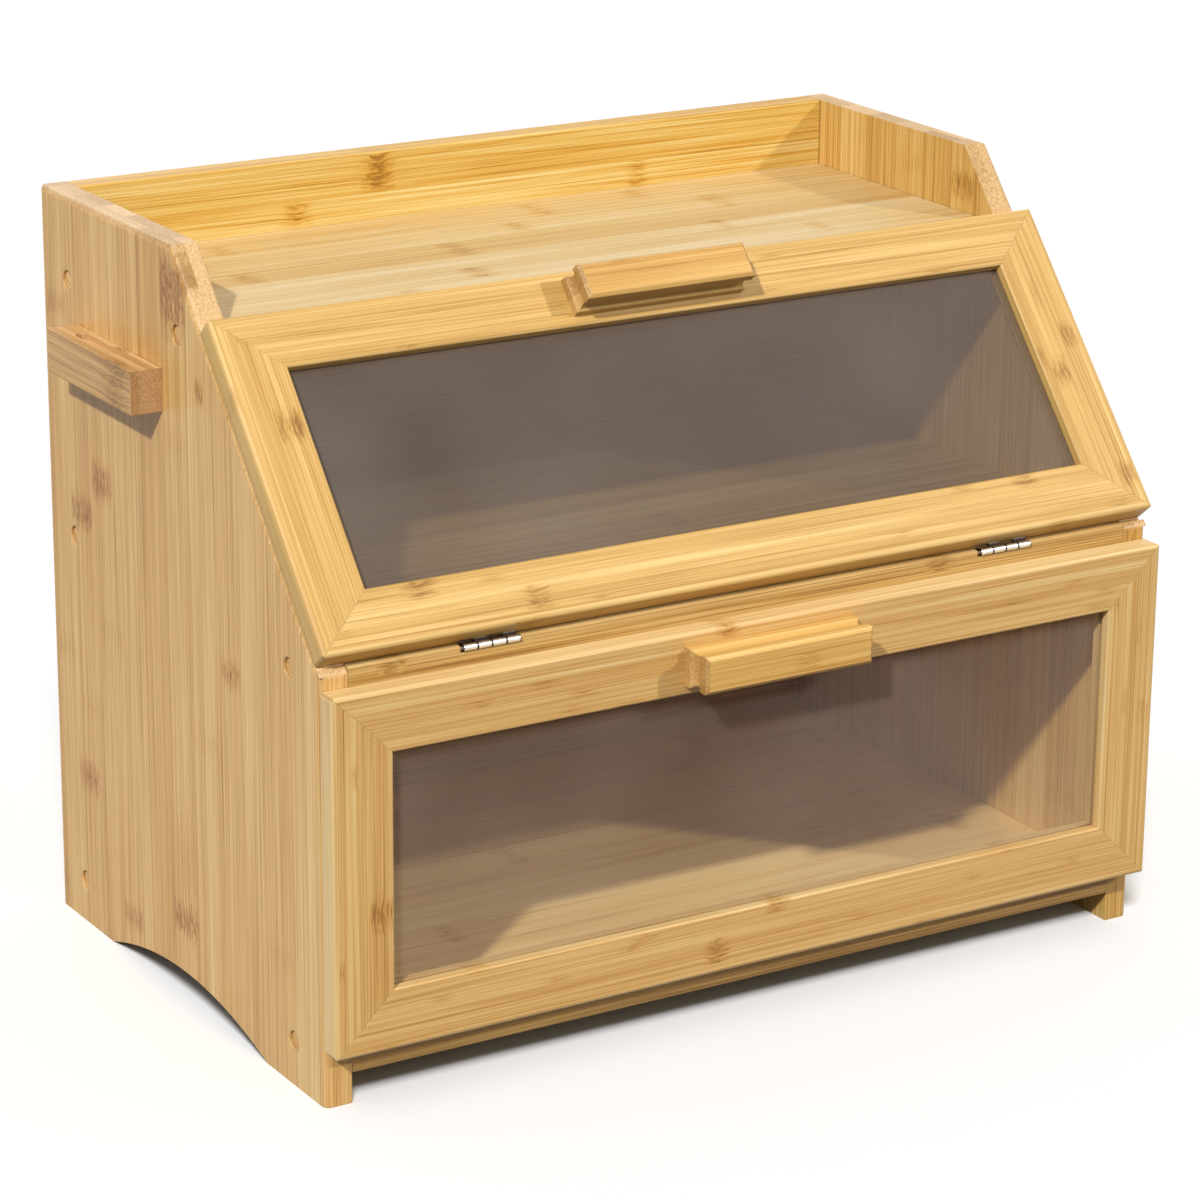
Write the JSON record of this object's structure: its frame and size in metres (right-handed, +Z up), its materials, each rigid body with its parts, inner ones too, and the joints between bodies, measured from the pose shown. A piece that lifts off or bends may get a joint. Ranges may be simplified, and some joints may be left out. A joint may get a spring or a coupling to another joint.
{
  "type": "bread box",
  "caption": "Bamboo bread box with a sloped drop-down door above an upright one, clear windows, bar handles, side grips and an open tray on top.",
  "frame": {"origin": "on the table, under the middle of the whole object's bounding box, handles and side grips included", "axes": "+X across the front to the right as seen by someone facing the box, +Y to the back, +Z up"},
  "size_m": [0.428, 0.2764, 0.325],
  "materials": {
    "side_bamboo": "laminated bamboo with upright grain, satin lacquer",
    "board_bamboo": "laminated bamboo with grain along the box, satin lacquer",
    "frame_bamboo": "laminated bamboo with grain along each member, satin lacquer",
    "handle_bamboo": "bamboo shaped by a router, satin lacquer",
    "plug_bamboo": "bamboo plug, satin",
    "clear_acrylic": "clear acrylic sheet",
    "hinge_steel": "bright nickel plate on pressed steel",
    "screw_steel": "zinc plated steel",
    "magnet": "nickel plated magnet"
  },
  "bodies": {
    "carcass": {"side_panel_left": "side_bamboo", "side_panel_right": "side_bamboo", "bottom_board": "board_bamboo", "middle_shelf": "board_bamboo", "tray_board": "board_bamboo", "tray_back_rail": "board_bamboo", "back_panel": "board_bamboo", "side_grip_left": "handle_bamboo", "side_grip_right": "handle_bamboo", "carcass_screws": "screw_steel", "screw_plugs": "plug_bamboo", "tray_rail_screws": "screw_steel", "back_panel_screws": "screw_steel", "side_grip_screws": "screw_steel", "upper_hinge_shelf_leaves": "hinge_steel", "lower_hinge_board_leaves": "hinge_steel", "upper_hinge_pins": "hinge_steel", "lower_hinge_pins": "hinge_steel", "shelf_leaf_screws": "screw_steel", "board_leaf_screws": "screw_steel", "upper_magnets": "magnet", "lower_magnets": "magnet"},
    "upper_door": {"upper_door_top_rail": "frame_bamboo", "upper_door_bottom_rail": "frame_bamboo", "upper_door_left_stile": "frame_bamboo", "upper_door_right_stile": "frame_bamboo", "upper_window": "clear_acrylic", "upper_handle": "handle_bamboo", "upper_handle_screws": "screw_steel", "upper_hinge_door_leaves": "hinge_steel", "upper_door_leaf_screws": "screw_steel", "upper_strikes": "screw_steel"},
    "lower_door": {"lower_door_top_rail": "frame_bamboo", "lower_door_bottom_rail": "frame_bamboo", "lower_door_left_stile": "frame_bamboo", "lower_door_right_stile": "frame_bamboo", "lower_window": "clear_acrylic", "lower_handle": "handle_bamboo", "lower_handle_screws": "screw_steel", "lower_hinge_door_leaves": "hinge_steel", "lower_door_leaf_screws": "screw_steel", "lower_strikes": "screw_steel"}
  },
  "joints": [
    {"name": "upper_door_hinge", "type": "hinge", "parent": "carcass", "child": "upper_door", "pos_m": [0, -0.11185, 0.1825], "axis": [1, 0, 0], "range_deg": [0, 118]},
    {"name": "lower_door_hinge", "type": "hinge", "parent": "carcass", "child": "lower_door", "pos_m": [0, -0.11185, 0.0237], "axis": [1, 0, 0], "range_deg": [0, 88.5]}
  ]
}
